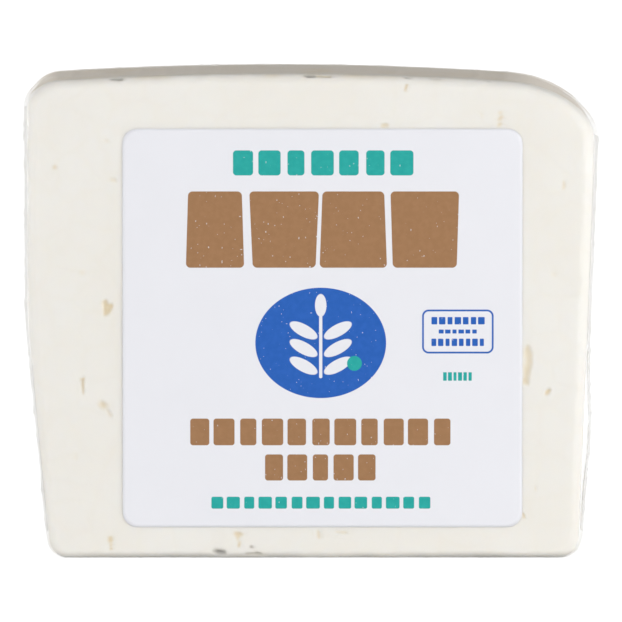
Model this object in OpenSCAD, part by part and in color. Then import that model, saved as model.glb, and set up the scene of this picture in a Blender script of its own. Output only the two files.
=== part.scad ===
// Block of feta in a tight vacuum pack, with a square label on its front face.
// It stands on its long narrow side. X runs along the width, the front faces -Y, Z is up.

/* [Pack] */
// Width over the end seals
pack_w = 101.2; // [80:0.1:140]
// Height from the flat bottom to the highest point of the crowned top
pack_h = 85.2; // [76:0.1:110]
// Depth from the label's face to the back
pack_d = 27; // [18:0.5:45]

/* [Outline seen from the front] */
// How much lower the top is at its ends than at its highest point
top_crown = 2; // [0:0.1:3]
// Highest point of the top, to the right of the pack's middle
crown_x = -6; // [-10:1:10]
// How far the left end leans in at the bottom
left_taper = 3.8; // [0:0.1:6]
// Height at which the left end starts to lean in
left_taper_z = 41.4; // [20:0.2:60]
// How far the right end leans in at the bottom
right_taper = 2.5; // [0:0.1:6]
// Height at which the right end starts to lean in
right_taper_z = 69.4; // [20:0.2:70]
// Upper left corner, along the top and down the end
corner_tl = [5.5, 5.5]; // [2:0.5:12]
// Upper right corner, along the top and down the end
corner_tr = [15, 10]; // [2:0.5:18]
// Lower left corner, along the bottom and up the end
corner_bl = [3.4, 3.2]; // [2:0.1:8]
// Lower right corner, along the bottom and up the end
corner_br = [3.6, 3.4]; // [2:0.1:8]

/* [Rounded edges of the front and back] */
// Width of the rounding along the top edges
edge_top = 1.8; // [0.5:0.1:3]
// Width of the rounding along the bottom edges
edge_bottom = 1.6; // [0.5:0.1:2]
// Width of the rounding along the left edges
edge_left = 2.8; // [0.5:0.1:5]
// Width of the rounding along the right edges
edge_right = 4.2; // [0.5:0.1:6]
// How deep all these roundings reach into the pack
edge_depth = 2.6; // [1:0.1:5]

/* [End seals] */
// How far the folded seal stands out at the middle of each end
seal_out = 0.8; // [0:0.1:2]
// Half of the depth over which the film rises to the seal
seal_reach = 6; // [2:0.5:7]

/* [Label] */
// Side of the square label
label_side = 70; // [30:1:71]
// Radius of the label's corners
label_corner = 2.6; // [1:0.1:8]
// Thickness of the label
label_t = 0.2; // [0.1:0.05:0.5]
// Middle of the label, to the right of the pack's middle
label_x = 2; // [-2:0.5:3]
// Middle of the label, above the bottom
label_z = 40.6; // [38:0.1:41]

/* [Fineness] */
// Steps round each corner of the outline
corner_steps = 8; // [4:1:12]
// Steps along each straight run of the outline
run_steps = 9; // [4:1:14]
// Steps round each edge of the front and back
edge_steps = 5; // [3:1:8]
// Steps over the end seal, from its foot to its crest
seal_steps = 3; // [2:1:5]

/* [Hidden] */
front_y = label_t - pack_d / 2;   // the flat front face, behind the label
back_y = pack_d / 2;
half_w = pack_w / 2 - seal_out;   // half of the width without the seals
lean_softness = 0.25;             // rounds off the start of a lean
seal_sharpness = 10;              // keeps the seal's rise on the ends, off the top and bottom

// Rises from 0 to the amount d, with a soft start instead of a kink
function soft_ramp(d) = (d + sqrt(d * d + lean_softness * lean_softness)) / 2;

// How far an end leans in at height z
function lean(z, taper, start_z) = soft_ramp(taper * (start_z - z) / start_z);

// Carries a point of a plain rounded rectangle to the pack's own outline:
// the ends lean in towards the bottom and the top is crowned
function shaped(p) =
    let (
        inward = p[0] < 0 ? lean(p[1], left_taper, left_taper_z) : lean(p[1], right_taper, right_taper_z),
        off_crown = (p[0] - crown_x) / half_w,
        upward = p[1] / pack_h
    )
    [p[0] * (1 - inward / half_w), p[1] - top_crown * pow(off_crown * upward, 2)];

// Quarter of an ellipse about a centre, from one angle on through 90 degrees
function quarter(centre, radii, from) =
    [for (i = [0 : corner_steps])
        let (a = from + 90 * i / corner_steps)
        [centre[0] + radii[0] * cos(a), centre[1] + radii[1] * sin(a)]];

// Points between two ends, without the ends themselves
function run(a, b) = [for (i = [1 : run_steps - 1]) a + (b - a) * i / run_steps];

// Outline between four sides; "cut" is how much each corner's radii shrink
function outline(left, right, bottom, top, cut) =
    let (
        tr = corner_tr - cut,
        tl = corner_tl - cut,
        bl = corner_bl - cut,
        br = corner_br - cut,
        arc_tr = quarter([right - tr[0], top - tr[1]], tr, 0),
        arc_tl = quarter([left + tl[0], top - tl[1]], tl, 90),
        arc_bl = quarter([left + bl[0], bottom + bl[1]], bl, 180),
        arc_br = quarter([right - br[0], bottom + br[1]], br, 270)
    )
    [for (p = concat(
        arc_tr, run(arc_tr[corner_steps], arc_tl[0]),
        arc_tl, run(arc_tl[corner_steps], arc_bl[0]),
        arc_bl, run(arc_bl[corner_steps], arc_br[0]),
        arc_br, run(arc_br[corner_steps], arc_tr[0])
    )) shaped(p)];

outer = outline(-half_w, half_w, 0, pack_h, [0, 0]);
inner = outline(-half_w + edge_left, half_w - edge_right, edge_bottom, pack_h - edge_top, [1.2, 1.2]);
count = len(outer);

// One ring of the edge rounding: 0 lies on the flat face, 1 on the side wall
function edge_ring(turn, y) =
    [for (i = [0 : count - 1])
        let (p = inner[i] + (outer[i] - inner[i]) * sin(90 * turn))
        [p[0], y, p[1]]];

// One ring of the side wall, whose ends rise to the seal; 1 is the seal's crest
function seal_ring(rise, y) =
    [for (p = outer)
        let (out = seal_out * rise * pow(abs(p[0]) / half_w, seal_sharpness))
        [p[0] + sign(p[0]) * out, y, p[1]]];

front_rings = [for (i = [0 : edge_steps])
    edge_ring(i / edge_steps, front_y + edge_depth * (1 - cos(90 * i / edge_steps)))];
back_rings = [for (i = [edge_steps : -1 : 0])
    edge_ring(i / edge_steps, back_y - edge_depth * (1 - cos(90 * i / edge_steps)))];
seal_rings = [for (i = [-seal_steps : seal_steps])
    let (s = i / seal_steps)
    seal_ring((1 + cos(180 * s)) / 2, (front_y + back_y) / 2 + seal_reach * s)];

// Skin through a stack of rings, closed by a flat face at each end
module skin(rings) {
    last = len(rings) - 1;
    walls = [for (r = [0 : last - 1], i = [0 : count - 1])
        let (j = (i + 1) % count)
        each [
            [r * count + i, (r + 1) * count + i, (r + 1) * count + j],
            [r * count + i, (r + 1) * count + j, r * count + j]
        ]];
    front = [for (i = [0 : count - 1]) i];
    back = [for (i = [count - 1 : -1 : 0]) last * count + i];
    polyhedron(points = [for (ring = rings) each ring], faces = concat(walls, [front, back]), convexity = 4);
}

// The clear film out to its outer surface, with the block of cheese inside it
module vacuum_pack() {
    color("ivory") skin(concat(front_rings, seal_rings, back_rings));
}

// Square with round corners, about the origin
module round_square(side, r) {
    square([side, side - 2 * r], center = true);
    square([side - 2 * r, side], center = true);
    for (sx = [-1, 1], sz = [-1, 1])
        translate([sx * (side / 2 - r), sz * (side / 2 - r)]) circle(r, $fn = 48);
}

// The label lies flat on the front face of the pack
module label() {
    color("white") translate([label_x, front_y, label_z]) rotate([90, 0, 0])
        linear_extrude(label_t) round_square(label_side, label_corner);
}

vacuum_pack();
label();
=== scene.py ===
"""A block of feta in a tight clear vacuum pack with a square label, on a plain studio floor."""

import functools
import math
from typing import NamedTuple

import bmesh
import bpy
import numpy as np
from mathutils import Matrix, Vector


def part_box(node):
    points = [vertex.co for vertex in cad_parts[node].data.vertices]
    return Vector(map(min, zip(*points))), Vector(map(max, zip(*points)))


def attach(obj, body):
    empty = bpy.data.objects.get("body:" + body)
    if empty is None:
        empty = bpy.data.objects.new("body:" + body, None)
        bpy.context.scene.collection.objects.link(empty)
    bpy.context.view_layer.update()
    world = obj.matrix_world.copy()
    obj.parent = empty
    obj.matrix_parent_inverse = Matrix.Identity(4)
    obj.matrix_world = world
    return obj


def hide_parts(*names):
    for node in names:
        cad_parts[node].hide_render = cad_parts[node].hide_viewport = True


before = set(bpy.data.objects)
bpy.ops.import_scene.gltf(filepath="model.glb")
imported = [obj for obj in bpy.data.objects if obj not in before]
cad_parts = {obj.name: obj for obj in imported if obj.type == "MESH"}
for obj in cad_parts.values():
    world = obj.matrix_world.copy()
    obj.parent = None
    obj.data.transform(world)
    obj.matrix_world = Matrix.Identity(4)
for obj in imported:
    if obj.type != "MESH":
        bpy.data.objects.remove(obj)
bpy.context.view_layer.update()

bl_info = {
    "name": "Vacuum-packed feta block",
    "version": (1, 0, 0),
    "blender": (4, 5, 0),
    "location": "View3D > Sidebar > Feta",
    "description": "Builds a feta block, its shrink film, its label and a studio stage",
    "category": "Add Mesh",
}

MM = 0.001                      # metres in a millimetre; the shapes below are worked out in millimetres
PACK_LOW, PACK_HIGH = (np.array(corner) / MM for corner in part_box("vacuum_pack"))
LABEL_LOW, LABEL_HIGH = (np.array(corner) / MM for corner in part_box("label"))

# Outline of the pack seen from the front
TOP_CROWN = 2.0                 # how much lower the top is at its ends
CROWN_X = -6.0
LEFT_TAPER, LEFT_TAPER_Z = 3.8, 41.4
RIGHT_TAPER, RIGHT_TAPER_Z = 2.5, 69.4
LEAN_SOFTNESS = 0.25
CORNERS = {                     # radii along the width and up the ends
    "top right": (15.0, 10.0),
    "top left": (5.5, 5.5),
    "bottom left": (3.4, 3.2),
    "bottom right": (3.6, 3.4),
}
EDGE_CUT = 1.2                  # how much smaller the corner radii are on the flat faces
SEAL_OUT = 0.8                  # how far the folded seal stands out from each end
SEAL_REACH = 6.0
SEAL_SHARPNESS = 10
HALF_WIDTH = PACK_HIGH[0] - SEAL_OUT
BACK_INSET = 0.35               # room for the lap seal between the film's back and the CAD solid's
FILM_SEAL_OUT = 0.6             # the seal's rise in the film and in the cheese under it
CHEESE_SEAL_OUT = 0.45
CHEESE_FOOT = 0.02              # the cheese rests on the film, so hardly any gap is left below it

# The folded seals
SHEET = 0.05                    # thickness of the folded film
RIB_PITCH = 0.8
SEAL_START = 0.4                # where an end seal begins, behind the pack's middle
LAP_Z = 43.0                    # height of the middle of the lap seal
LAP_TURN = 1.05                 # how far round the pack's rounded edges it goes, in radians

# Points along the outline
CORNER_STEPS = 24
END_STEPS = 150
LONG_STEPS = 146


# ---------------------------------------------------------------- sizes and colours

class FetaSizes(bpy.types.PropertyGroup):
    """Sizes of the pack's parts that a user would change."""
    film_gap: bpy.props.FloatProperty(
        name="Film gap", description="Space between the cheese and the film round it",
        default=0.12 * MM, min=0.02 * MM, max=0.5 * MM, unit="LENGTH", precision=5)
    slack_left: bpy.props.FloatProperty(
        name="Slack at the left", description="How far the film stands off the left end of the cheese",
        default=0.12 * MM, min=0.0, max=2 * MM, unit="LENGTH", precision=5)
    slack_right: bpy.props.FloatProperty(
        name="Slack at the right", description="How far the film stands off the right end of the cheese",
        default=0.25 * MM, min=0.0, max=2 * MM, unit="LENGTH", precision=5)
    crease_height: bpy.props.FloatProperty(
        name="Crease height", description="Height of the film's creases at the end faces",
        default=0.22 * MM, min=0.0, max=0.6 * MM, unit="LENGTH", precision=5)
    seal_width: bpy.props.FloatProperty(
        name="End seal width", description="Width of the crimped seal folded flat on each end",
        default=8 * MM, min=4 * MM, max=10 * MM, unit="LENGTH", precision=4)
    lap_width: bpy.props.FloatProperty(
        name="Lap seal width", description="Width of the seal along the back",
        default=11 * MM, min=6 * MM, max=20 * MM, unit="LENGTH", precision=4)
    paper_thickness: bpy.props.FloatProperty(
        name="Label thickness", description="Thickness of the paper label",
        default=0.08 * MM, min=0.05 * MM, max=0.2 * MM, unit="LENGTH", precision=5)


class FetaColours(bpy.types.PropertyGroup):
    """Colours of the cheese, the film and the label's print."""
    curd: bpy.props.FloatVectorProperty(
        name="Curd", description="Colour of the cheese", subtype="COLOR", size=3,
        default=(0.80, 0.784, 0.746), min=0, max=1)
    whey: bpy.props.FloatVectorProperty(
        name="Whey", description="Colour of the damp hollows and pits", subtype="COLOR", size=3,
        default=(0.72, 0.585, 0.34), min=0, max=1)
    paper: bpy.props.FloatVectorProperty(
        name="Paper", description="Colour of the bare label", subtype="COLOR", size=3,
        default=(0.745, 0.748, 0.786), min=0, max=1)
    brown: bpy.props.FloatVectorProperty(
        name="Brown ink", description="Colour of the large printed shapes", subtype="COLOR", size=3,
        default=(0.305, 0.156, 0.067), min=0, max=1)
    teal: bpy.props.FloatVectorProperty(
        name="Teal ink", description="Colour of the small printed shapes", subtype="COLOR", size=3,
        default=(0.006, 0.335, 0.305), min=0, max=1)
    blue: bpy.props.FloatVectorProperty(
        name="Blue ink", description="Colour of the oval and the badge", subtype="COLOR", size=3,
        default=(0.006, 0.094, 0.415), min=0, max=1)


class FetaStage(bpy.types.PropertyGroup):
    """Camera and lights."""
    camera_height: bpy.props.FloatProperty(
        name="Camera elevation", description="Angle of the view above the horizon",
        default=math.radians(5.0), min=0, max=math.radians(60), subtype="ANGLE")
    camera_distance: bpy.props.FloatProperty(
        name="Camera distance", description="Distance from the camera to the front face",
        default=3.0, min=1, max=6, unit="LENGTH")
    view_width: bpy.props.FloatProperty(
        name="View width", description="Width of the view at the front face",
        default=108.85 * MM, min=0.05, max=0.5, unit="LENGTH")


# ---------------------------------------------------------------- surfaces

class Form(NamedTuple):
    """Bounds and roundings of one closed skin, in millimetres."""
    left: float
    right: float
    bottom: float
    top: float
    front: float
    back: float
    edges: tuple        # width of the rounding at the left, right, bottom and top
    edge_depth: float
    seal_out: float


def soft_ramp(d):
    """Rises from 0 to d with a soft start: half of d + root of (d squared + softness squared)."""
    return (d + np.sqrt(d * d + LEAN_SOFTNESS ** 2)) / 2


def shaped(p):
    """Leans the ends in towards the bottom and crowns the top.
    x loses its share of the lean at its height; z loses crown * (share of x * share of z)^2."""
    x, z = p[..., 0], p[..., 1]
    lean_left = soft_ramp(LEFT_TAPER * (LEFT_TAPER_Z - z) / LEFT_TAPER_Z)
    lean_right = soft_ramp(RIGHT_TAPER * (RIGHT_TAPER_Z - z) / RIGHT_TAPER_Z)
    crown = TOP_CROWN * ((x - CROWN_X) / HALF_WIDTH * z / PACK_HIGH[2]) ** 2
    return np.stack([x * (1 - np.where(x < 0, lean_left, lean_right) / HALF_WIDTH), z - crown], axis=-1)


def quarter(centre, radii, start):
    """Quarter of an ellipse: centre + (rx cos a, rz sin a), with a from start through 90 degrees."""
    a = np.radians(start + 90 * np.linspace(0, 1, CORNER_STEPS + 1))
    return np.stack([centre[0] + radii[0] * np.cos(a), centre[1] + radii[1] * np.sin(a)], axis=1)


def run(a, b, steps):
    """Points on a straight line from a to b, without the two ends."""
    return a + (b - a) * (np.arange(1, steps) / steps)[:, None]


def outline(left, right, bottom, top, cut):
    """Rectangle with elliptical corners, in the order upper right, upper left, lower left, lower right."""
    tr, tl, bl, br = (np.array(radii) - cut for radii in CORNERS.values())
    arcs = [
        quarter((right - tr[0], top - tr[1]), tr, 0),
        quarter((left + tl[0], top - tl[1]), tl, 90),
        quarter((left + bl[0], bottom + bl[1]), bl, 180),
        quarter((right - br[0], bottom + br[1]), br, 270),
    ]
    steps = [LONG_STEPS, END_STEPS, LONG_STEPS, END_STEPS]
    parts = []
    for i, arc in enumerate(arcs):
        parts += [arc, run(arc[-1], arcs[(i + 1) % 4][0], steps[i])]
    return np.concatenate(parts)


def end_rise(y):
    """Share of the seal's height at depth y: half a cosine wave, 1 in the middle and 0 past the reach."""
    middle = (PACK_LOW[1] + PACK_HIGH[1]) / 2
    return 0.5 + 0.5 * np.cos(np.pi * np.clip((y - middle) / SEAL_REACH, -1, 1))


def form_outlines(form):
    """Outer and inner outline of a form: that of its wall and that of its flat faces."""
    edge_left, edge_right, edge_bottom, edge_top = form.edges
    outer = outline(form.left, form.right, form.bottom, form.top, 0)
    inner = outline(form.left + edge_left, form.right - edge_right,
                    form.bottom + edge_bottom, form.top - edge_top, EDGE_CUT)
    return shaped(outer), shaped(inner)


def skin_rings(form, front_cap, turn_front, wall, turn_back, back_cap):
    """Stack of rings round a form, from the middle of its front to the middle of its back.
    On a flat face a ring is the face's outline shrunk about its middle by k.
    On a rounding a ring is inner + (outer - inner) sin t, at a depth of edge_depth (1 - cos t).
    On the wall a ring is the outer outline, its ends raised by half a cosine wave over the seal."""
    outer, inner = form_outlines(form)
    middle = inner.mean(axis=0)

    def cap(k):
        return middle + k[:, None, None] * (inner - middle)

    def rounding(t):
        return inner + (outer - inner) * np.sin(t)[:, None, None]

    wall_y = form.front + form.edge_depth + wall * (form.back - form.front - 2 * form.edge_depth)
    at_end = np.clip(np.abs(outer[:, 0]) / HALF_WIDTH, 0, 1) ** SEAL_SHARPNESS
    out = form.seal_out * end_rise(wall_y)[:, None] * at_end * np.sign(outer[:, 0])
    walls = np.repeat(outer[None], len(wall), axis=0)
    walls[..., 0] += out
    plane = np.concatenate([
        cap(front_cap), rounding(turn_front), walls, rounding(turn_back), cap(back_cap)])
    y = np.concatenate([
        np.full(len(front_cap), form.front),
        form.front + form.edge_depth * (1 - np.cos(turn_front)),
        wall_y,
        form.back - form.edge_depth * (1 - np.cos(turn_back)),
        np.full(len(back_cap), form.back),
    ])
    return np.stack([plane[..., 0], np.broadcast_to(y[:, None], plane.shape[:2]), plane[..., 1]], axis=-1)


def ring_normals(rings):
    """Outward unit normals: the cross product of the slopes along a ring and from ring to ring."""
    along = np.roll(rings, -1, axis=1) - np.roll(rings, 1, axis=1)
    across = np.gradient(rings, axis=0)
    normal = np.cross(across, along)
    normal /= np.maximum(np.linalg.norm(normal, axis=-1, keepdims=True), 1e-9)
    outward = np.sum(normal * (rings - rings.mean(axis=(0, 1))))
    return normal if outward > 0 else -normal


def smooth_noise(points, cell, seed):
    """Value noise from -1 to 1: random numbers at the corners of cubes of side cell,
    blended along each axis by t^2 (3 - 2 t)."""
    size = 32
    table = np.random.default_rng(seed).uniform(-1, 1, (size, size, size))
    q = points / cell
    base = np.floor(q).astype(int)
    t = q - base
    t = t * t * (3 - 2 * t)
    total = np.zeros(points.shape[:-1])
    for corner in np.ndindex(2, 2, 2):
        step = np.array(corner)
        share = np.prod(np.where(step == 1, t, 1 - t), axis=-1)
        i = (base + step) % size
        total += share * table[i[..., 0], i[..., 1], i[..., 2]]
    return total


def layered_noise(points, layers):
    """Sum of value noises: each layer's height times the noise of its cell size and seed."""
    return sum(height * smooth_noise(points, cell, seed) for height, cell, seed in layers)


def smooth_step(low, high, value):
    """0 below low, 1 above high, and t^2 (3 - 2 t) between them."""
    t = np.clip((value - low) / (high - low), 0, 1)
    return t * t * (3 - 2 * t)


def capsule_distance(points, start, end):
    """Distance from each point to the straight line from start to end."""
    line = end - start
    t = np.clip(((points - start) @ line) / max(line @ line, 1e-9), 0, 1)
    return np.linalg.norm(points - start - t[..., None] * line, axis=-1)


def put_mesh(name, vertices, quads, triangles=None):
    """Makes a mesh object at the origin from millimetre vertices and arrays of faces."""
    triangles = np.empty((0, 3), int) if triangles is None else triangles
    mesh = bpy.data.meshes.new(name)
    loops = np.concatenate([quads.ravel(), triangles.ravel()]).astype(np.int32)
    starts = np.concatenate([
        np.arange(len(quads)) * 4,
        len(quads) * 4 + np.arange(len(triangles)) * 3,
    ]).astype(np.int32)
    mesh.vertices.add(len(vertices))
    mesh.vertices.foreach_set("co", (vertices * MM).astype(np.float32).ravel())
    mesh.loops.add(len(loops))
    mesh.loops.foreach_set("vertex_index", loops)
    mesh.polygons.add(len(starts))
    mesh.polygons.foreach_set("loop_start", starts)
    mesh.update(calc_edges=True)
    if mesh.validate(verbose=False):
        raise RuntimeError(f"{name}: the mesh had faulty faces")
    mesh.polygons.foreach_set("use_smooth", np.ones(len(starts), bool))
    made = bpy.data.objects.new(name, mesh)
    bpy.context.scene.collection.objects.link(made)
    return made


def put_skin(name, rings):
    """Closed skin through a stack of rings, with one point in the middle of each end."""
    count, around = rings.shape[:2]
    poles = np.stack([rings[0].mean(axis=0), rings[-1].mean(axis=0)])
    vertices = np.concatenate([rings.reshape(-1, 3), poles])
    vertices[:, 2] = np.maximum(vertices[:, 2], 0)
    r, i = np.meshgrid(np.arange(count - 1), np.arange(around), indexing="ij")
    j = (i + 1) % around
    quads = np.stack([r * around + i, (r + 1) * around + i, (r + 1) * around + j, r * around + j], axis=-1)
    i = np.arange(around)
    j = (i + 1) % around
    first, last = count * around, count * around + 1
    front = np.stack([np.full(around, first), i, j], axis=-1)
    back = np.stack([np.full(around, last), (count - 1) * around + j, (count - 1) * around + i], axis=-1)
    return put_mesh(name, vertices, quads.reshape(-1, 4), np.concatenate([front, back]))


def put_slab(name, top, bottom):
    """Closed thin sheet between two matching grids of points."""
    rows, columns = top.shape[:2]
    vertices = np.concatenate([top.reshape(-1, 3), bottom.reshape(-1, 3)])
    r, c = np.meshgrid(np.arange(rows - 1), np.arange(columns - 1), indexing="ij")
    a = (r * columns + c).ravel()
    upper = np.stack([a, a + 1, a + columns + 1, a + columns], axis=-1)
    lower = upper[:, ::-1] + rows * columns
    rim = np.concatenate([
        np.arange(columns - 1),
        (np.arange(rows - 1) + 1) * columns - 1,
        rows * columns - 1 - np.arange(columns - 1),
        (rows - 1 - np.arange(rows - 1)) * columns,
    ])
    ahead = np.roll(rim, -1)
    sides = np.stack([rim, rim + rows * columns, ahead + rows * columns, ahead], axis=-1)
    return put_mesh(name, vertices, np.concatenate([upper, lower, sides]))


def settle(made, material, node):
    made.data.materials.append(material)
    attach(made, "root")
    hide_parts(node)


def add_attribute(made, name, values):
    """Stores one number for each vertex, for the material to read."""
    layer = made.data.attributes.new(name, "FLOAT", "POINT")
    layer.data.foreach_set("value", values.astype(np.float32))


# ---------------------------------------------------------------- shader arithmetic

class Flow:
    """A socket that takes part in Python arithmetic; each sign adds a Math node."""

    def __init__(self, shader, socket):
        self.shader, self.socket = shader, socket

    def __add__(self, other):
        return self.shader.maths("ADD", self, other)

    def __radd__(self, other):
        return self.shader.maths("ADD", other, self)

    def __sub__(self, other):
        return self.shader.maths("SUBTRACT", self, other)

    def __rsub__(self, other):
        return self.shader.maths("SUBTRACT", other, self)

    def __mul__(self, other):
        return self.shader.maths("MULTIPLY", self, other)

    def __rmul__(self, other):
        return self.shader.maths("MULTIPLY", other, self)

    def __truediv__(self, other):
        return self.shader.maths("DIVIDE", self, other)

    def __pow__(self, other):
        return self.shader.maths("POWER", self, other)

    def __abs__(self):
        return self.shader.maths("ABSOLUTE", self)

    def floor(self):
        return self.shader.maths("FLOOR", self)

    def sine(self):
        return self.shader.maths("SINE", self)

    def root(self):
        return self.shader.maths("SQRT", self)

    def at_least(self, other):
        return self.shader.maths("MAXIMUM", self, other)

    def at_most(self, other):
        return self.shader.maths("MINIMUM", self, other)

    def between(self, low, high):
        """0 below low, 1 above high, smooth between."""
        return self.shader.node("ShaderNodeMapRange", {"interpolation_type": "SMOOTHSTEP"},
                                {"Value": self, "From Min": low, "From Max": high})


class Nodes:
    """A node tree under construction."""

    def __init__(self, tree):
        self.tree = tree
        self.tree.nodes.clear()

    def node(self, kind, settings=None, inputs=None, output=0):
        """Adds a node: its settings first, then the values or links of its sockets."""
        made = self.tree.nodes.new(kind)
        for key, value in (settings or {}).items():
            setattr(made, key, value)
        for key, value in (inputs or {}).items():
            if isinstance(value, Flow):
                self.tree.links.new(value.socket, made.inputs[key])
            else:
                made.inputs[key].default_value = value
        return Flow(self, made.outputs[output])

    def maths(self, operation, *values):
        """Adds a Math node."""
        return self.node("ShaderNodeMath", {"operation": operation}, dict(enumerate(values)))

    def mix(self, share, first, second):
        """Colour between first and second."""
        colours = [v if isinstance(v, Flow) else (*v, 1) for v in (first, second)]
        inputs = {0: share, 6: colours[0], 7: colours[1]}
        return self.node("ShaderNodeMix", {"data_type": "RGBA"}, inputs, 2)

    def place(self):
        """Object coordinates."""
        return self.node("ShaderNodeTexCoord", output=3)

    def noise(self, scale, detail=2.0, place=None):
        """Noise from about 0.2 to 0.8."""
        return self.node("ShaderNodeTexNoise", {}, {
            "Vector": place or self.place(), "Scale": scale, "Detail": detail, "Roughness": 0.5})

    def bump(self, height, strength, distance):
        """Normal tilted by the slopes of a height."""
        inputs = {"Height": height, "Strength": strength, "Distance": distance}
        return self.node("ShaderNodeBump", {}, inputs)

    def finish(self, kind, flow):
        """Links the result to the tree's output."""
        out = self.tree.nodes.new(kind)
        self.tree.links.new(flow.socket, out.inputs["Surface"])


class Shader(Nodes):
    """A procedural material under construction."""

    def __init__(self, name):
        self.material = bpy.data.materials.new(name)
        self.material.use_nodes = True
        super().__init__(self.material.node_tree)

    def surface(self, flow):
        """Links the finished shader and gives the material back."""
        self.finish("ShaderNodeOutputMaterial", flow)
        return self.material


# ---------------------------------------------------------------- cheese

# Marks on the front of the curd, in millimetres from the bottom's middle:
# x and z of the start and of the end, radius, depth, and how much whey stands in it; above 1 the hollow is
# darkened with painted shade
FRONT_MARKS = (
    (-36.0, 45.0, -35.9, 43.2, 0.40, 0.55, 0.75),
    (-35.8, 44.6, -35.1, 44.4, 0.36, 0.50, 0.85),
    (-35.7, 44.1, -35.5, 43.8, 0.45, 0.50, 0.8),
    (-40.0, 31.3, -39.9, 29.2, 0.19, 0.40, 0.7),
    (-40.2, 31.5, -39.8, 31.6, 0.24, 0.35, 0.6),
    (-36.6, 27.2, -36.2, 26.9, 0.60, 0.45, 0.6),
    (-36.2, 26.9, -35.1, 25.2, 0.25, 0.35, 0.4),
    (-44.9, 68.8, -44.8, 68.8, 0.35, 0.25, 0.5),
    (-34.9, 66.5, -34.3, 66.5, 0.35, 0.25, 0.4),
    (-35.8, 73.4, -35.6, 73.4, 0.35, 0.15, 0.3),
    (12.7, 76.1, 13.1, 76.1, 0.40, 0.30, 0.6),
    (-35.1, 3.6, -35.1, 3.3, 0.36, 0.40, 0.8),
    (-35.1, 3.2, -35.0, 1.7, 0.20, 0.35, 0.7),
    (-13.1, 4.3, -12.4, 4.3, 0.42, 0.40, 0.7),
    (-12.6, 4.2, -12.7, 2.2, 0.22, 0.40, 0.7),
    (1.3, 4.7, 1.4, 3.8, 0.28, 0.35, 0.5),
    (4.3, 4.7, 6.2, 4.6, 0.22, 0.30, 0.4),
    (33.3, 78.2, 33.0, 76.2, 0.32, 0.35, 0.6),
    (29.8, 78.2, 29.9, 77.0, 0.15, 0.20, 0.4),
    (16.7, 83.3, 16.6, 82.2, 0.22, 0.40, 0.7),
    (37.9, 36.8, 38.0, 34.6, 0.65, 0.40, 0.55),
    (37.9, 34.6, 37.6, 31.2, 0.55, 0.40, 0.6),
    (41.3, 29.2, 41.6, 29.5, 0.35, 0.55, 0.7),
    (42.3, 50.1, 42.6, 50.0, 0.40, 0.12, 0.3),
    (44.2, 66.3, 44.2, 65.2, 0.25, 0.20, 0.5),
    (39.1, 19.6, 39.1, 19.2, 0.12, 0.20, 0.4),
    (39.3, 12.6, 39.3, 12.1, 0.12, 0.20, 0.4),
    (37.2, 7.8, 37.3, 7.3, 0.25, 0.20, 0.6),
    (-40.1, 50.3, -39.9, 50.2, 0.45, 0.12, 0.3),
    (-41.3, 17.9, -41.1, 17.8, 0.40, 0.12, 0.3),
    (-34.6, 84.4, -33.2, 84.4, 0.40, 0.50, 1.8),
    (-33.9, 84.2, -33.8, 83.6, 0.32, 0.50, 1.8),
    (-0.6, 84.9, 0.4, 85.0, 0.40, 0.40, 1.8),
    (1.0, 85.0, 3.2, 85.0, 0.35, 0.30, 1.3),
    (16.6, 84.8, 17.4, 84.8, 0.32, 0.40, 1.7),
    (21.2, 84.7, 22.4, 84.7, 0.32, 0.40, 1.4),
    (30.4, 84.3, 31.0, 84.2, 0.28, 0.40, 1.7),
    (-16.4, 1.2, -15.6, 1.0, 0.45, 0.50, 1.8),
    (-10.4, 2.1, -10.2, 2.1, 0.22, 0.40, 1.6),
    (-10.9, 0.7, -9.2, 0.7, 0.35, 0.40, 1.6),
)
RIM_Z = 83.5                    # marks above this height lie on the rounding behind the front face
RIM_DEPTH = 0.9
# Damp stains on the top: x and y of the middle, half length and half width, amount
TOP_STAINS = (
    (-33.8, 5.0, 4.0, 8.0, 0.9),
    (1.2, -4.0, 3.2, 8.0, 0.9),
    (18.5, -3.0, 3.0, 6.0, 0.6),
    (22.4, -6.0, 2.0, 6.0, 0.8),
    (-14.0, 4.0, 6.0, 6.0, 0.4),
)
SCATTERED_MARKS = 190           # further marks, on the other sides
MARK_SEED = 11

# Unevenness of the curd: height, size of the noise's cells, seed
CURD_SWELLS = ((0.05, 16.0, 1), (0.025, 5.0, 2), (0.012, 1.6, 3), (0.008, 0.9, 4))
EDGE_CRUMBLE = ((0.10, 3.0, 5), (0.05, 1.2, 6))
RAGGED_MARKS = ((0.35, 0.8, 7), (0.25, 0.4, 8))
PATCHY_STAINS = ((0.6, 2.6, 12), (0.35, 1.1, 13))
CURD_DEPTH = 0.06               # how much the curd lies below its form, which leaves room for the swells
FRONT_ZONE = 4.0                # the scattered marks keep this far from the front face
MARK_BLUR = 1.4                 # how much wider a mark's stain and painted shade are than its dent
PAINTED_FOOT_SHADE = 0.30               # strength of the painted shade where the curd rests on its edge
# colour of the painted shade
PAINTED_SHADE_COLOUR = (0.20, 0.185, 0.165)


def cheese_form(sizes):
    """The block of cheese: the pack less the film's gap and the slack at its ends."""
    gap = sizes.film_gap / MM
    return Form(
        left=-HALF_WIDTH + gap + sizes.slack_left / MM, right=HALF_WIDTH - gap - sizes.slack_right / MM,
        bottom=CHEESE_FOOT, top=PACK_HIGH[2] - gap,
        front=PACK_LOW[1] + gap, back=PACK_HIGH[1] - BACK_INSET - gap,
        edges=(1.8, 2.0, 1.5, 1.7), edge_depth=1.9, seal_out=CHEESE_SEAL_OUT)


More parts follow.
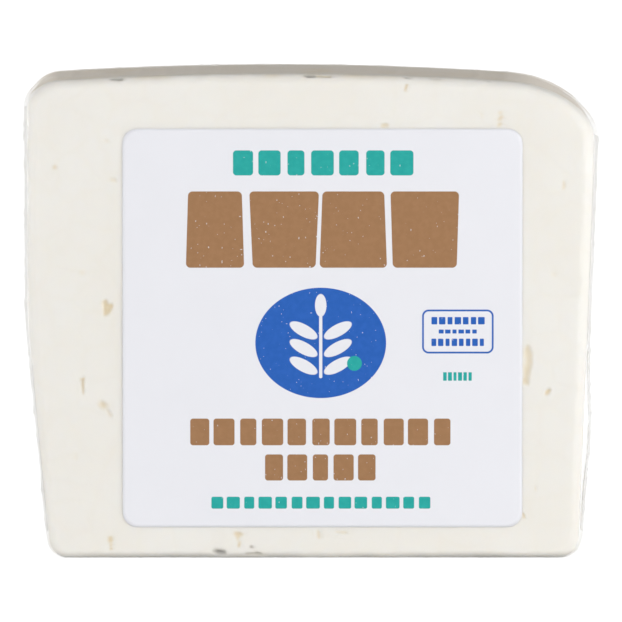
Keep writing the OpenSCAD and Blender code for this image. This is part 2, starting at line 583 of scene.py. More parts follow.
def all_marks(rings, normals, front_y):
    """The front marks and seeded ones elsewhere: start, end, radius, depth and whey of each, where whey
    above 1 means painted shade.
    """
    rows = np.array(FRONT_MARKS)
    y = front_y + RIM_DEPTH * (rows[:, 1] > RIM_Z)
    starts = [np.stack([rows[:, 0], y, rows[:, 1]], axis=1)]
    ends = [np.stack([rows[:, 2], y, rows[:, 3]], axis=1)]
    rng = np.random.default_rng(MARK_SEED)
    flat, flat_normal = rings.reshape(-1, 3), normals.reshape(-1, 3)
    elsewhere = np.flatnonzero(flat[:, 1] > front_y + FRONT_ZONE)
    chance = np.linalg.norm(flat[elsewhere] - flat[elsewhere].mean(axis=0), axis=1)
    pick = rng.choice(elsewhere, SCATTERED_MARKS, replace=False, p=chance / chance.sum())
    way = np.cross(flat_normal[pick], rng.normal(size=(SCATTERED_MARKS, 3)))
    way /= np.linalg.norm(way, axis=1, keepdims=True)
    length = rng.gamma(1.2, 0.7, SCATTERED_MARKS)[:, None]
    starts.append(flat[pick])
    ends.append(flat[pick] + way * length)
    size = rng.beta(1.3, 3.5, SCATTERED_MARKS)
    radius = np.concatenate([rows[:, 4], 0.2 + 0.75 * size])
    depth = np.concatenate([rows[:, 5], 0.15 + 0.8 * size])
    whey = np.concatenate([rows[:, 6], rng.beta(1.2, 3.0, SCATTERED_MARKS)])
    return np.concatenate(starts), np.concatenate(ends), radius, depth, whey


def build_cheese(sizes, colours):
    """The curd: the form's rings moved along their normals by slow swells, grain and marks.
    A mark is depth * exp(-(d / radius)^4), with d the distance to its line.
    A little whey also stands in pools on the top; painted shade darkens the curd along its foot and in its
    darkest hollows."""
    form = cheese_form(sizes)
    quarter_turn = np.pi / 2
    rings = skin_rings(
        form,
        np.concatenate([
            np.linspace(0.04, 0.68, 8, endpoint=False), np.linspace(0.68, 1, 50, endpoint=False)]),
        np.linspace(0, quarter_turn, 13, endpoint=False),
        np.linspace(0, 1, 30),
        np.linspace(quarter_turn, 0, 9)[1:],
        np.linspace(1, 0.04, 32)[1:])
    normals = ring_normals(rings)
    rounded = 1 - smooth_step(0.93, 0.995, np.max(np.abs(normals), axis=-1))
    relief = layered_noise(rings, CURD_SWELLS) + rounded * layered_noise(rings, EDGE_CRUMBLE) - CURD_DEPTH
    dents = np.zeros(rings.shape[:2])
    pools = smooth_step(0.1, 0.7, smooth_noise(rings * np.array([0.6, 1, 1]), 4.0, 9))
    damp = 0.35 * pools * smooth_step(0.5, 0.9, normals[..., 2])
    x, y, z = np.moveaxis(rings, -1, 0)
    patchy = 0.55 + layered_noise(rings, PATCHY_STAINS)
    on_top = np.clip(patchy, 0, 1) * smooth_step(0.5, 0.9, normals[..., 2])
    for stain_x, stain_y, half_x, half_y, amount in TOP_STAINS:
        away = ((x - stain_x) / half_x) ** 2 + ((y - stain_y) / half_y) ** 2
        damp = np.maximum(damp, amount * np.exp(-away) * on_top)
    # painted shade along the bottom edge, where the curd stands on the floor
    painted_shade = PAINTED_FOOT_SHADE * (1 - smooth_step(0.1, 1.5, z)) * (1 + 0.5 * smooth_noise(rings, 5.0, 10))
    ragged = layered_noise(rings, RAGGED_MARKS)
    for start, end, radius, depth, whey in zip(*all_marks(rings, normals, form.front)):
        away = capsule_distance(rings, start, end) / radius + ragged
        dents = np.maximum(dents, depth * np.exp(-np.clip(away, 0, 9) ** 4))
        # above 1, a mark's whey turns into painted shade in its hollow
        stain_and_painted_shade = np.exp(-np.clip(away / MARK_BLUR, 0, 9) ** 2.5)
        damp = np.maximum(damp, min(whey, 2 - whey) * stain_and_painted_shade)
        painted_shade = np.maximum(painted_shade, max(whey - 1, 0) * stain_and_painted_shade)
    made = put_skin("cheese", rings + normals * (relief - dents)[..., None])
    poles = np.zeros(2)
    add_attribute(made, "damp", np.concatenate([damp.ravel(), poles]))
    add_attribute(made, "painted_shade", np.concatenate([painted_shade.ravel(), poles]))
    settle(made, curd_material(colours), "vacuum_pack")


def curd_material(colours):
    """Moist off-white curd: faint cloudy mottling, fine grain, damp amber hollows, and painted shade at its
    foot and in its darkest hollows.
    """
    s = Shader("feta_curd")
    damp = s.node("ShaderNodeAttribute", {"attribute_name": "damp"}, output=2)
    painted_shade = s.node("ShaderNodeAttribute", {"attribute_name": "painted_shade"}, output=2)
    cloud = s.noise(60, 3.0)
    grain = s.noise(900, 3.0)
    curd, whey = tuple(colours.curd), tuple(colours.whey)
    warm = tuple(c * w for c, w in zip(curd, (0.985, 0.965, 0.93)))
    colour = s.mix(cloud.between(0.3, 0.7) * 0.5, curd, warm)
    colour = s.mix(grain.between(0.35, 0.75) * 0.12, colour, tuple(c * 0.93 for c in curd))
    warp = s.node("ShaderNodeVectorMath", {"operation": "MULTIPLY_ADD"}, {
        0: s.node("ShaderNodeTexNoise", {}, {"Vector": s.place(), "Scale": 220.0, "Detail": 2.0}, 1),
        1: (3 * MM,) * 3, 2: s.place()})
    seams = {"Vector": warp, "Scale": 150.0}
    seam = 1 - s.node("ShaderNodeTexVoronoi", {"feature": "DISTANCE_TO_EDGE"}, seams).between(0.0, 0.12)
    colour = s.mix(seam * 0.10, colour, tuple(c * w for c, w in zip(curd, (0.93, 0.88, 0.78))))
    colour = s.mix(damp.between(0.0, 1.0) * 0.85, colour, whey)
    # painted shade: grey-brown at the foot and in the darkest hollows
    colour = s.mix(painted_shade, colour, PAINTED_SHADE_COLOUR)
    rough = 0.42 + grain * 0.12 - damp * 0.15
    height = cloud * 0.4 + grain * 0.3 - seam * 0.25
    return s.surface(s.node("ShaderNodeBsdfPrincipled", {}, {
        "Base Color": colour,
        "Roughness": rough,
        "IOR": 1.4,
        "Specular IOR Level": 0.35,
        "Subsurface Weight": 0.25,
        "Subsurface Radius": (0.9, 0.75, 0.55),
        "Subsurface Scale": 1.6 * MM,
        "Normal": s.bump(height, 0.25, 0.15 * MM),
    }))


# ---------------------------------------------------------------- film

FILM_SEED = 40
# The kinds of film: roughness, share of milky white, gloss, and the white of its welds
FILM_KINDS = {
    "shrink_film": (0.07, 0.01, 0.9, 0.0),
    "lapped_film": (0.10, 0.02, 0.5, 0.16),
    "sealed_film": (0.16, 0.04, 0.6, 0.24),
}
# Heights of the film's relief
TUCK_HEIGHT, TUCK_REACH = 0.14, 13.5    # tucked triangles at the ends, and how far they go down
FRONT_FOLD_HEIGHT = 0.05        # wrinkles running in from the ends, over the front and over the back
BACK_FOLD_HEIGHT = 0.30
RUFFLE_HEIGHT = 0.24            # ruffles along the back's upper and lower rims
TOP_FOLD_HEIGHT = 0.07
SWELL_HEIGHT = 0.02
SLACK_HEIGHT, SLACK_Z, SLACK_SPREAD = 0.75, 21.0, 9.5    # loose film low down on the right end
FILM_DEPTH = 0.03               # how much the film lies below its form


def film_form():
    """The film's outer surface, a little inside the CAD solid to leave room for its creases."""
    return Form(
        left=-HALF_WIDTH, right=HALF_WIDTH, bottom=0.0, top=PACK_HIGH[2],
        front=PACK_LOW[1], back=PACK_HIGH[1] - BACK_INSET,
        edges=(2.2, 2.8, 1.5, 1.7), edge_depth=2.2, seal_out=FILM_SEAL_OUT)


def ridged(value, sharpness):
    """Turns noise into narrow ridges where it crosses zero: (1 - |value|)^sharpness."""
    return np.clip(1 - np.abs(value), 0, 1) ** sharpness


# Creases of the film along the front's left and right rims, in millimetres from the bottom's middle:
# x and z of the start and of the end, half width, height
RIM_CREASES = (
    (-48.9, 78.4, -49.3, 75.2, 0.24, 0.14),
    (-49.3, 75.2, -49.5, 71.6, 0.24, 0.16),
    (-49.5, 71.0, -49.3, 63.0, 0.24, 0.18),
    (-49.9, 60.0, -49.8, 50.0, 0.24, 0.16),
    (-48.6, 71.0, -48.8, 66.0, 0.26, 0.10),
    (-48.8, 66.0, -48.6, 57.0, 0.26, 0.11),
    (-49.0, 57.0, -48.9, 52.4, 0.22, 0.16),
    (-48.9, 46.0, -48.7, 43.4, 0.24, 0.17),
    (-47.5, 35.7, -47.7, 33.4, 0.26, 0.24),
    (-48.5, 34.8, -48.3, 33.0, 0.20, 0.16),
    (-47.2, 29.4, -46.9, 26.8, 0.24, 0.19),
    (-46.2, 18.0, -45.9, 12.0, 0.26, 0.10),
    (47.9, 70.0, 48.2, 60.0, 0.28, 0.14),
    (47.8, 61.0, 48.1, 51.0, 0.30, 0.16),
    (46.3, 45.8, 46.2, 41.8, 0.90, 0.15),
    (47.4, 49.0, 47.2, 40.0, 0.36, 0.12),
    (48.3, 36.5, 47.8, 27.0, 0.28, 0.20),
    (47.7, 27.0, 47.8, 17.5, 0.28, 0.20),
    (46.8, 16.8, 46.4, 13.4, 0.24, 0.18),
    (46.4, 13.4, 46.9, 10.2, 0.24, 0.18),
    (47.9, 16.6, 47.6, 10.4, 0.24, 0.18),
    (47.2, 9.6, 47.0, 3.4, 0.28, 0.16),
)


def film_relief(rings, normals, sizes):
    """Height of the film's creases over its form.
    The ends carry tucked triangles from corner to corner and gathers that grow towards the seal.
    Wrinkles run in from the ends over the back, and single creases follow the front's rims.
    A crease is its height * exp(-(d / width)^2), with d the distance to its line seen from the front."""
    x, y, z = np.moveaxis(rings, -1, 0)
    mid_y = (PACK_LOW[1] + PACK_HIGH[1]) / 2
    height = sizes.crease_height / MM
    at_end = smooth_step(0.55, 0.95, np.abs(normals[..., 0]))
    off_seal = np.abs(y - mid_y)
    gathers = np.stack([np.sign(x) * 7, y * 0.22, z], axis=-1)
    gather = ridged(smooth_noise(gathers, 3.1, FILM_SEED) * 2.2, 4) + 0.6 * ridged(
        smooth_noise(gathers, 1.7, FILM_SEED + 1) * 2.4, 4)
    relief = height * at_end * np.clip(1 - off_seal / 13, 0, 1) * gather
    from_top = PACK_HIGH[2] - z
    for from_level in (from_top, z):
        relief += TUCK_HEIGHT * at_end * smooth_step(-0.5, 0.5, TUCK_REACH - off_seal * 1.05 - from_level)
    from_end = np.clip(HALF_WIDTH - np.abs(x), 0, None)
    behind = smooth_step(0.2, 0.9, normals[..., 1])
    wrinkles = np.stack([x * 0.3, y * 0.5, z], axis=-1)
    folds = ridged(smooth_noise(wrinkles, 3.4, FILM_SEED + 2) * 2.3, 4)
    reach = 2.5 + 7.5 * behind
    fold_height = FRONT_FOLD_HEIGHT + BACK_FOLD_HEIGHT * behind
    relief += fold_height * np.exp(-from_end / reach) * (1 - at_end) * folds
    over_edge = np.stack([x, y * 0.5, z * 0.3], axis=-1)
    ruffles = ridged(smooth_noise(over_edge, 3.8, FILM_SEED + 3) * 2.3, 4)
    from_rim = np.minimum(from_top, z)
    relief += RUFFLE_HEIGHT * behind * np.exp(-from_rim / 7.0) * ruffles
    level = smooth_step(0.8, 0.97, np.abs(normals[..., 2]))
    over_top = np.stack([x, y * 0.18, z], axis=-1)
    relief += TOP_FOLD_HEIGHT * level * ridged(smooth_noise(over_top, 4.5, FILM_SEED + 5) * 2.0, 4)
    relief += SWELL_HEIGHT * smooth_noise(rings, 9.0, FILM_SEED + 4)
    seen = np.stack([x, z], axis=-1)
    front = smooth_step(0.0, 0.4, -normals[..., 1])
    for x0, z0, x1, z1, width, crest in RIM_CREASES:
        d = capsule_distance(seen, np.array([x0, z0]), np.array([x1, z1]))
        relief += crest * front * np.exp(-(d / width) ** 2)
    slack = SLACK_HEIGHT * np.exp(-((z - SLACK_Z) / SLACK_SPREAD) ** 2)
    return relief + slack * smooth_step(0.3, 0.95, normals[..., 0]) - FILM_DEPTH


def build_film(sizes):
    """The shrink film: the form's rings moved along their normals by the creases."""
    quarter_turn = np.pi / 2
    rings = skin_rings(
        film_form(),
        np.concatenate([
            np.linspace(0.05, 0.8, 8, endpoint=False), np.linspace(0.8, 1, 20, endpoint=False)]),
        np.linspace(0, quarter_turn, 28, endpoint=False),
        np.linspace(0, 1, 50),
        np.linspace(quarter_turn, 0, 11)[1:],
        np.concatenate([np.linspace(1, 0.8, 13)[1:], np.linspace(0.8, 0.05, 10)[1:]]))
    normals = ring_normals(rings)
    made = put_skin("film", rings + normals * film_relief(rings, normals, sizes)[..., None])
    settle(made, film_material("shrink_film"), "vacuum_pack")


def film_material(kind):
    """Clear glossy film with a share of milky white, more where it is welded.
    It is see-through head on and mirror-like at a slant, the same from both sides:
    the mirrored share is shine * (0.034 + 0.966 * (1 - cosine of the slant)^5)."""
    roughness, milk, shine, welded = FILM_KINDS[kind]
    s = Shader(kind)
    ripple = s.noise(120, 2.0)
    normal = s.bump(ripple, 0.12, 0.2 * MM)
    facing = s.node("ShaderNodeLayerWeight", {}, {"Blend": 0.5, "Normal": normal}, 1)
    slant = 0.034 + 0.966 * facing ** 5
    gloss = s.node("ShaderNodeBsdfPrincipled", {}, {
        "Base Color": (1, 1, 1, 1), "Metallic": 1.0, "Roughness": roughness, "Normal": normal})
    clear = s.node("ShaderNodeBsdfTransparent", {}, {"Color": (0.993, 0.993, 0.99, 1)})
    white = s.node("ShaderNodeBsdfPrincipled", {}, {
        "Base Color": (0.93, 0.93, 0.92, 1), "Roughness": 0.4, "Normal": normal})
    weld = s.node("ShaderNodeAttribute", {"attribute_name": "weld"}, output=2)
    whiteness = milk * (0.7 + ripple * 0.6) + weld * welded
    sheet = s.node("ShaderNodeMixShader", {}, {0: whiteness, 1: clear, 2: white})
    return s.surface(s.node("ShaderNodeMixShader", {}, {0: slant * shine, 1: sheet, 2: gloss}))


def outline_normals(points):
    """Outward unit normals of an open run of outline points, from the slope between neighbours."""
    slope = np.gradient(points, axis=0)
    normal = np.stack([slope[:, 1], -slope[:, 0]], axis=1)
    return normal / np.linalg.norm(normal, axis=1, keepdims=True)


def build_end_seal(side, sizes):
    """The crimped seal of one end, folded flat towards the back.
    It follows the straight part of the end. Across its width c it stands off the wall
    by the seal's rise, fine ribs, and a lift of the free edge that grows with c squared."""
    outer, _ = form_outlines(film_form())
    first = 2 * CORNER_STEPS + LONG_STEPS
    if side > 0:
        first = 2 * first + END_STEPS
    end = np.roll(outer, -first, axis=0)[:END_STEPS + 1]
    normal = outline_normals(end)
    width = sizes.seal_width / MM
    across = np.linspace(0, 1, 57)
    c = across[None, :] * width
    along = np.stack([np.full(len(end), side * 9.0), np.zeros(len(end)), end[:, 1]], axis=-1)
    wave = smooth_noise(along, 6.0, FILM_SEED + 10)[:, None]
    ripple = ridged(2 * smooth_noise(along, 2.2, FILM_SEED + 11), 3)[:, None]
    from_tip = np.minimum(end[:, 1] - end[:, 1].min(), end[:, 1].max() - end[:, 1])
    fade = smooth_step(0, 5, from_tip)[:, None]
    free_edge = 0.5 * wave + 0.15 * smooth_noise(along, 1.5, FILM_SEED + 12)[:, None]
    y = SEAL_START + c + free_edge * across ** 3
    base = np.stack(np.broadcast_arrays(end[:, :1], y, end[:, 1:]), axis=-1)
    out = np.stack([normal[:, 0], np.zeros(len(end)), normal[:, 1]], axis=-1)[:, None, :]
    at_end = np.clip(np.abs(end[:, :1]) / HALF_WIDTH, 0, 1) ** SEAL_SHARPNESS
    wall = FILM_SEAL_OUT * end_rise(y) * at_end
    wall = wall + film_relief(base, np.broadcast_to(out, base.shape), sizes)
    lift = (0.12 + 0.12 * wave) * across ** 2 * fade
    rib = np.cos(2 * np.pi * c / RIB_PITCH)
    welded = smooth_step(0.06, 0.12, across) * smooth_step(0.94, 0.88, across) * np.ones_like(y)
    height = wall + lift + 0.02 + (0.05 + 0.035 * rib * welded + 0.05 * ripple * across) * fade
    made = put_slab("end_seal_left" if side < 0 else "end_seal_right",
                    base + out * height[..., None], base + out * (height - SHEET)[..., None])
    make_outward(made)
    add_attribute(made, "weld", np.tile((welded * (0.65 + 0.35 * rib)).ravel(), 2))
    settle(made, film_material("sealed_film"), "vacuum_pack")


def build_lap_seal(sizes):
    """The seal along the back, where the film's two edges overlap.
    Along its length it follows the flat back and then the rounding at each end,
    at inner + (outer - inner) sin t; its upper edge is free and lifts a little in slow waves."""
    form = film_form()
    width = sizes.lap_width / MM
    v = np.linspace(0, 1, 89)
    z = LAP_Z + width * (v - 0.5)
    turn_steps, flat_steps = 14, 170
    turn = np.linspace(0, LAP_TURN, turn_steps + 1)[1:]
    t = np.concatenate([-turn[::-1], np.zeros(flat_steps), turn])
    share = np.concatenate([np.zeros(turn_steps), np.linspace(0, 1, flat_steps), np.ones(turn_steps)])
    edge_left, edge_right = form.edges[:2]
    inner_left, outer_left = form.left + edge_left, form.left
    inner_right, outer_right = form.right - edge_right, form.right
    beyond = np.where(t < 0, outer_left - inner_left, outer_right - inner_right)
    x = inner_left + (inner_right - inner_left) * share + beyond * np.sin(np.abs(t))
    y = form.back - form.edge_depth * (1 - np.cos(t))
    plane = shaped(np.stack(np.broadcast_arrays(x[:, None], z[None, :]), axis=-1))
    base = np.stack(np.broadcast_arrays(plane[..., 0], y[:, None], plane[..., 1]), axis=-1)
    out = np.stack([np.sin(t), np.cos(t), np.zeros_like(t)], axis=-1)[:, None, :]
    relief = film_relief(base, np.broadcast_to(out, base.shape), sizes)
    wave = smooth_noise(np.stack([x, 0 * x, 0 * x], axis=-1), 11.0, FILM_SEED + 20)[:, None]
    lift = 0.05 + (0.14 + 0.12 * wave) * np.clip((v - 0.72) / 0.28, 0, 1) ** 2
    rib = np.cos(2 * np.pi * v * width / RIB_PITCH)
    welded = smooth_step(0.15, 0.19, v) * smooth_step(0.66, 0.62, v) * np.ones_like(relief)
    height = relief + lift + 0.02 * rib * welded
    base[..., 2] += 0.35 * wave * v ** 4
    made = put_slab("lap_seal", base + out * height[..., None], base + out * (height - SHEET)[..., None])
    make_outward(made)
    add_attribute(made, "weld", np.tile((welded * (0.65 + 0.35 * rib)).ravel(), 2))
    settle(made, film_material("lapped_film"), "vacuum_pack")


def make_outward(made):
    """Turns a closed mesh's faces outwards."""
    mesh = bmesh.new()
    mesh.from_mesh(made.data)
    bmesh.ops.recalc_face_normals(mesh, faces=mesh.faces)
    mesh.to_mesh(made.data)
    mesh.free()


# ---------------------------------------------------------------- label

LABEL_CORNER = 2.6              # radius of the label's corners
LABEL_STEPS = 121               # points along each side of its grid
LABEL_LIFT = 0.015              # gap between the paper's back and the film's form


def build_label(sizes, colours):
    """The paper label: a rounded square that follows the film's slow swells.
    A square grid is drawn towards its middle near the corners until it fits the rounded outline."""
    thickness = sizes.paper_thickness / MM
    half = (LABEL_HIGH[0] - LABEL_LOW[0]) / 2
    t = np.linspace(-1, 1, LABEL_STEPS)
    u, v = np.meshgrid(t, t, indexing="ij")
    a, b = np.abs(u), np.abs(v)
    # each square of the grid keeps its straight sides, and its corners become quarter circles
    flat = 1 - LABEL_CORNER / half
    big = np.maximum(a, b)
    over_a, over_b = np.maximum(a - flat * big, 0), np.maximum(b - flat * big, 0)
    reach = np.maximum(over_a, over_b)
    length = np.sqrt(over_a ** 2 + over_b ** 2)
    pull = np.where(length > 1e-9, reach / np.maximum(length, 1e-9), 1)
    a = np.minimum(a, flat * big) + over_a * pull
    b = np.minimum(b, flat * big) + over_b * pull
    centre = (LABEL_LOW + LABEL_HIGH) / 2
    x = centre[0] + np.sign(u) * a * half
    z = centre[2] + np.sign(v) * b * half
    base = np.stack([x, np.full_like(x, PACK_LOW[1]), z], axis=-1)
    lift = SWELL_HEIGHT * smooth_noise(base, 9.0, FILM_SEED + 4) - FILM_DEPTH + LABEL_LIFT
    rim = smooth_step(0.985, 1.0, big)
    back = base - np.array([0, 1, 0]) * lift[..., None]
    front = back - np.array([0, 1, 0]) * (thickness * (1 - 0.6 * rim))[..., None]
    made = put_slab("label_paper", front, back)
    make_outward(made)
    settle(made, print_material(colours, centre), "label")


# The print, in millimetres from the label's middle
# Large brown blocks: x, half of the width at the top and at the bottom
WEDGES = ((-18.8, 4.7, 5.1), (-6.7, 6.1, 5.5), (5.4, 5.4, 5.9), (17.9, 6.0, 5.6))
WEDGE_Z, WEDGE_HALF_HEIGHT, WEDGE_CORNER = 17.3, 6.7, 0.8
# Rows of small blocks: left, right, z, half of the height, number, gap, corner radius
BROWN_ROWS = (
    (-23.6, 23.1, -18.25, 2.35, 11, 0.9, 0.5),
    (-10.5, 9.8, -24.5, 2.3, 5, 0.9, 0.5),
)
TEAL_ROWS = (
    (-16.2, 16.2, 29.0, 2.2, 7, 1.1, 0.6),
    (-19.8, 19.3, -30.7, 1.05, 14, 0.7, 0.3),
    (21.0, 26.3, -8.5, 0.75, 6, 0.25, 0.1),
)
BADGE_ROWS = (
    (18.9, 28.5, 1.3, 0.65, 7, 0.35, 0.15),
    (20.2, 27.2, -0.6, 0.35, 6, 0.3, 0.1),
    (18.9, 28.5, -2.5, 0.65, 8, 0.35, 0.15),
)
SPRIG_X, SPRIG_Z = -0.3, -2.6


class Print:
    """Distances in millimetres to the printed shapes, below 0 inside a shape."""

    def __init__(self, shader, centre):
        place = shader.place()
        self.u = shader.node("ShaderNodeSeparateXYZ", {}, {0: place}, 0) / MM - float(centre[0])
        self.v = shader.node("ShaderNodeSeparateXYZ", {}, {0: place}, 2) / MM - float(centre[2])

    def rounded(self, a, b, r):
        """Rounds a corner: a and b are the distances past the two sides, each moved in by r."""
        outside = (a.at_least(0) ** 2 + b.at_least(0) ** 2).root()
        return outside + a.at_least(b).at_most(0) - r

    def block(self, cx, cz, half_w, half_h, r):
        """Distance to a rounded rectangle."""
        return self.rounded(abs(self.u - cx) - (half_w - r), abs(self.v - cz) - (half_h - r), r)

    def oval(self, cx, cz, half_w, half_h, angle=0.0):
        """About the distance to an ellipse that is turned by an angle."""
        c, n = math.cos(angle), math.sin(angle)
        a = ((self.u - cx) * c + (self.v - cz) * n) / half_w
        b = ((self.v - cz) * c - (self.u - cx) * n) / half_h
        return ((a ** 2 + b ** 2).root() - 1) * min(half_w, half_h)

    def row(self, left, right, cz, half_h, count, gap, r):
        """Distance to a row of blocks whose widths swing a little from one to the next."""
        pitch = (right - left) / count
        k = (self.u - left) / pitch
        index = k.floor()
        wobble = (index * 2.4).sine() * 0.12 * pitch
        a = abs((k - index - 0.5) * pitch) - (pitch / 2 - gap / 2 - r) - wobble * 0.5
        within = abs(self.u - (left + right) / 2) - (right - left) / 2
        return self.rounded(a, abs(self.v - cz) - (half_h - r), r).at_least(within)

    def wedge(self, cx, half_top, half_bottom):
        """Distance to an upright trapezium with straight sides."""
        slope = (half_top - half_bottom) / (2 * WEDGE_HALF_HEIGHT)
        half_w = (self.v - WEDGE_Z) * slope + (half_top + half_bottom) / 2
        a = (abs(self.u - cx) - (half_w - WEDGE_CORNER)) * math.cos(math.atan(slope))
        return self.rounded(a, abs(self.v - WEDGE_Z) - (WEDGE_HALF_HEIGHT - WEDGE_CORNER), WEDGE_CORNER)


def nearest(distances):
    """The smallest of some distances: that to the shapes taken together."""
    return functools.reduce(Flow.at_most, distances)


def ink(distance):
    """1 inside a shape, 0 outside, with a thin soft edge."""
    return (-1 * distance).between(-0.05, 0.05)


def print_material(colours, centre):
    """White coated paper printed with plain fields of brown, blue and teal."""
    s = Shader("label_print")
    shapes = Print(s, centre)
    brown = nearest([
        *(shapes.wedge(*wedge) for wedge in WEDGES),
        *(shapes.row(*row) for row in BROWN_ROWS)])
    teal = nearest([shapes.row(*row) for row in TEAL_ROWS])
    blue = shapes.oval(SPRIG_X, SPRIG_Z, 11.45, 9.7)
    sprig = nearest([
        shapes.block(SPRIG_X, SPRIG_Z, 0.28, 6.2, 0.25),
        *(shapes.oval(SPRIG_X + side * 3.0, SPRIG_Z - 4.0 + 3.1 * step, 2.7, 1.05, side * 0.5)
          for step in range(3) for side in (-1, 1)),
        shapes.oval(SPRIG_X, 4.0, 1.0, 2.0)])
    badge = nearest([
        abs(shapes.block(23.7, -0.6, 6.3, 3.9, 1.2) + 0.2) - 0.16,
        *(shapes.row(*row) for row in BADGE_ROWS)])
    blue_ink = (ink(blue) * (1 - ink(sprig))).at_least(ink(badge))
    berry = ink(shapes.oval(5.6, -6.2, 1.3, 1.3))

    mottle = s.noise(900, 3.0)
    cloud = s.noise(90, 2.0)
    speck = s.noise(2600, 0.0).between(0.80, 0.83)
    paper = tuple(colours.paper)
    colour = s.mix(cloud.between(0.3, 0.7) * 0.25, paper, tuple(c * 0.97 for c in paper))
    printed = ((ink(brown), colours.brown), (blue_ink, colours.blue),
               (ink(teal), colours.teal), (berry, colours.teal))
    for cover, tone in printed:
        deep = tuple(tone)
        light = tuple(min(1, c * 1.07 + 0.004) for c in deep)
        inked = s.mix(mottle.between(0.35, 0.7), deep, light)
        colour = s.mix(cover * (1 - speck * 0.6), colour, inked)
    any_ink = ink(brown).at_least(blue_ink).at_least(ink(teal))
    return s.surface(s.node("ShaderNodeBsdfPrincipled", {}, {
        "Base Color": colour,
        "Roughness": 0.5 + any_ink * -0.08 + mottle * 0.06,
        "Specular IOR Level": 0.3,
        "Normal": s.bump(mottle, 0.08, 0.05 * MM),
    }))


# ---------------------------------------------------------------- stage

VIEW_Z = 43.6                   # height that the camera looks at
FLOOR_SIDE = 12.0               # metres
FLOOR_GLOW = 1.36
GLOW_SEEN, GLOW_MIRRORED = 0.62, 0.42   # share of the glow for the camera and in mirrored light
LIT_SPOT = (0, 0, 0.042)
# Lights: name, place, width and height, power
SOFT_LIGHTS = (
    ("key", (0.3, -2.4, 1.0), (3.2, 1.6), 26.1),
    ("left_softbox", (-1.8, 0.1, 0.6), (0.8, 0.8), 2.0),
    ("left_fill", (-0.22, -0.026, 0.065), (0.045, 0.13), 0.03),
    ("right_softbox", (1.8, -0.3, 0.6), (1.3, 1.1), 6.2),
    ("right_fill", (0.22, -0.075, 0.065), (0.045, 0.13), 0.052),
    ("front_left_softbox", (-1.7, -1.7, 0.35), (0.8, 0.9), 4.5),
    ("front_right_softbox", (1.7, -1.7, 0.35), (0.8, 0.9), 4.5),
    ("back_left_softbox", (-1.6, 1.8, 0.35), (0.8, 0.7), 9.5),
    ("back_right_softbox", (1.6, 1.8, 0.35), (0.8, 0.7), 9.5),
)
MIRRORED_STRIPS = (
    ("left_strip", (-0.22, -0.026, 0.065), (0.045, 0.13), 0.15),
    ("left_back_strip", (-0.20, 0.17, 0.05), (0.02, 0.10), 0.028),
    ("right_strip", (0.22, -0.075, 0.065), (0.045, 0.13), 0.125),
    ("right_back_strip", (0.21, 0.16, 0.05), (0.02, 0.10), 0.032),
)


def add_area_light(name, place, size, power, mirrored):
    """A rectangular soft light that faces the pack.
    It either lights matt surfaces or is mirrored in glossy ones."""
    data = bpy.data.lights.new(name, "AREA")
    data.shape = "RECTANGLE"
    data.size, data.size_y = size
    data.energy = power
    lamp = bpy.data.objects.new(name, data)
    lamp.location = place
    lamp.rotation_euler = (Vector(LIT_SPOT) - Vector(place)).to_track_quat("-Z", "Y").to_euler()
    lamp.visible_camera = False
    lamp.visible_diffuse = not mirrored
    lamp.visible_glossy = mirrored
    bpy.context.scene.collection.objects.link(lamp)


def studio_world():
    """Surroundings of a light tent: bright at the front and the sides, dim overhead and right behind."""
    world = bpy.data.worlds.new("studio")
    world.use_nodes = True
    s = Nodes(world.node_tree)
    way = s.node("ShaderNodeTexCoord", output=0)
    x = s.node("ShaderNodeSeparateXYZ", {}, {0: way}, 0)
    y = s.node("ShaderNodeSeparateXYZ", {}, {0: way}, 1)
    z = s.node("ShaderNodeSeparateXYZ", {}, {0: way}, 2)
    level = 1 - z.between(0.2, 0.6)
    behind = y.between(0.2, 0.8) * (1 - abs(x).between(0.10, 0.24)) * z.between(-0.04, 0.0)
    middle = 1 - abs(x).between(0.0, 0.06)
    colour = s.mix(behind, (1, 1, 1), (1, 0.905, 0.785))
    strength = (0.42 + 0.46 * level) * (1 - behind * (0.35 + 0.22 * middle))
    light = s.node("ShaderNodeBackground", {}, {"Color": colour, "Strength": strength})
    s.finish("ShaderNodeOutputWorld", light)
    return world


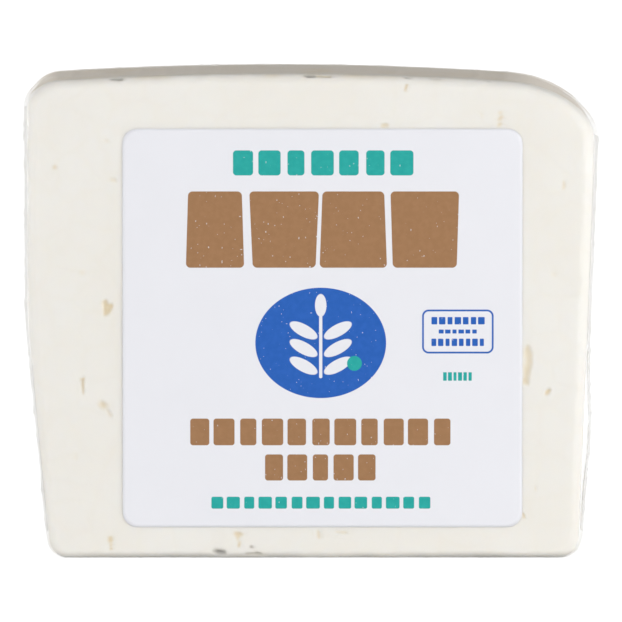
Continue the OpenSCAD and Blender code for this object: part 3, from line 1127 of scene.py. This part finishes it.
def build_stage(stage):
    """Pale floor, soft studio lights and the camera in front."""
    scene = bpy.context.scene
    middle = Vector((0, PACK_LOW[1] * MM, VIEW_Z * MM))
    back = Vector((0, -math.cos(stage.camera_height), math.sin(stage.camera_height)))
    data = bpy.data.cameras.new("camera")
    data.lens = data.sensor_width * stage.camera_distance / stage.view_width
    data.clip_start, data.clip_end = 0.05, 20
    camera = bpy.data.objects.new("camera", data)
    camera.location = middle + back * stage.camera_distance
    camera.rotation_euler = (-back).to_track_quat("-Z", "Y").to_euler()
    scene.collection.objects.link(camera)
    scene.camera = camera

    corners = np.array([[-1, -1, 0], [1, -1, 0], [1, 1, 0], [-1, 1, 0]]) * FLOOR_SIDE / 2 / MM
    floor = put_mesh("floor", corners, np.array([[0, 1, 2, 3]]))
    s = Shader("studio_floor")
    tone = s.noise(3.0, 2.0).between(0.3, 0.7) * 0.01
    white = s.mix(tone, (0.92, 0.92, 0.92), (0.9, 0.9, 0.9))
    paper = s.node("ShaderNodeBsdfPrincipled", {}, {
        "Base Color": white, "Roughness": 0.9, "Specular IOR Level": 0.1})
    glow = s.node("ShaderNodeEmission", {}, {"Color": (1, 1, 1, 1), "Strength": FLOOR_GLOW})
    viewed = s.node("ShaderNodeLightPath", output=0)
    mirrored = s.node("ShaderNodeLightPath", output=3)
    share = (viewed * GLOW_SEEN).at_least(mirrored * GLOW_MIRRORED)
    floor.data.materials.append(s.surface(s.node("ShaderNodeMixShader", {}, {0: share, 1: paper, 2: glow})))

    for name, place, size, power in SOFT_LIGHTS:
        add_area_light(name, place, size, power, mirrored=False)
    for name, place, size, power in MIRRORED_STRIPS:
        add_area_light(name, place, size, power, mirrored=True)
    scene.world = studio_world()
    scene.view_settings.view_transform = "Standard"


# ---------------------------------------------------------------- operators and panel

class FETA_OT_cheese(bpy.types.Operator):
    """Build the block of cheese"""
    bl_idname = "feta.cheese"
    bl_label = "Cheese"

    def execute(self, context):
        build_cheese(context.scene.feta_sizes, context.scene.feta_colours)
        return {"FINISHED"}


class FETA_OT_film(bpy.types.Operator):
    """Build the shrink film round the cheese"""
    bl_idname = "feta.film"
    bl_label = "Film"

    def execute(self, context):
        build_film(context.scene.feta_sizes)
        return {"FINISHED"}


class FETA_OT_seals(bpy.types.Operator):
    """Build the folded seals at both ends and the seal along the back"""
    bl_idname = "feta.seals"
    bl_label = "Seals"

    def execute(self, context):
        for side in (-1, 1):
            build_end_seal(side, context.scene.feta_sizes)
        build_lap_seal(context.scene.feta_sizes)
        return {"FINISHED"}


class FETA_OT_label(bpy.types.Operator):
    """Build the printed paper label"""
    bl_idname = "feta.label"
    bl_label = "Label"

    def execute(self, context):
        build_label(context.scene.feta_sizes, context.scene.feta_colours)
        return {"FINISHED"}


class FETA_OT_stage(bpy.types.Operator):
    """Set up the floor, the lights and the camera"""
    bl_idname = "feta.stage"
    bl_label = "Stage"

    def execute(self, context):
        build_stage(context.scene.feta_stage)
        return {"FINISHED"}


class FETA_PT_panel(bpy.types.Panel):
    """Lists the build steps and the settings"""
    bl_idname = "FETA_PT_panel"
    bl_label = "Feta block"
    bl_space_type = "VIEW_3D"
    bl_region_type = "UI"
    bl_category = "Feta"

    def draw(self, context):
        for step in STEPS:
            self.layout.operator(step.bl_idname)
        for settings in (context.scene.feta_sizes, context.scene.feta_colours, context.scene.feta_stage):
            for key in settings.__annotations__:
                self.layout.prop(settings, key)


STEPS = (FETA_OT_cheese, FETA_OT_film, FETA_OT_seals, FETA_OT_label, FETA_OT_stage)
SETTINGS = {"feta_sizes": FetaSizes, "feta_colours": FetaColours, "feta_stage": FetaStage}
CLASSES = (*SETTINGS.values(), *STEPS, FETA_PT_panel)


def register():
    for each in CLASSES:
        bpy.utils.register_class(each)
    for key, group in SETTINGS.items():
        setattr(bpy.types.Scene, key, bpy.props.PointerProperty(type=group))


def unregister():
    for key in SETTINGS:
        delattr(bpy.types.Scene, key)
    for each in reversed(CLASSES):
        bpy.utils.unregister_class(each)


def main():
    """Registers the add-on and builds everything in order."""
    register()
    feta = bpy.ops.feta
    for step in (feta.cheese, feta.film, feta.seals, feta.label, feta.stage):
        step()


if __name__ == "__main__":
    main()
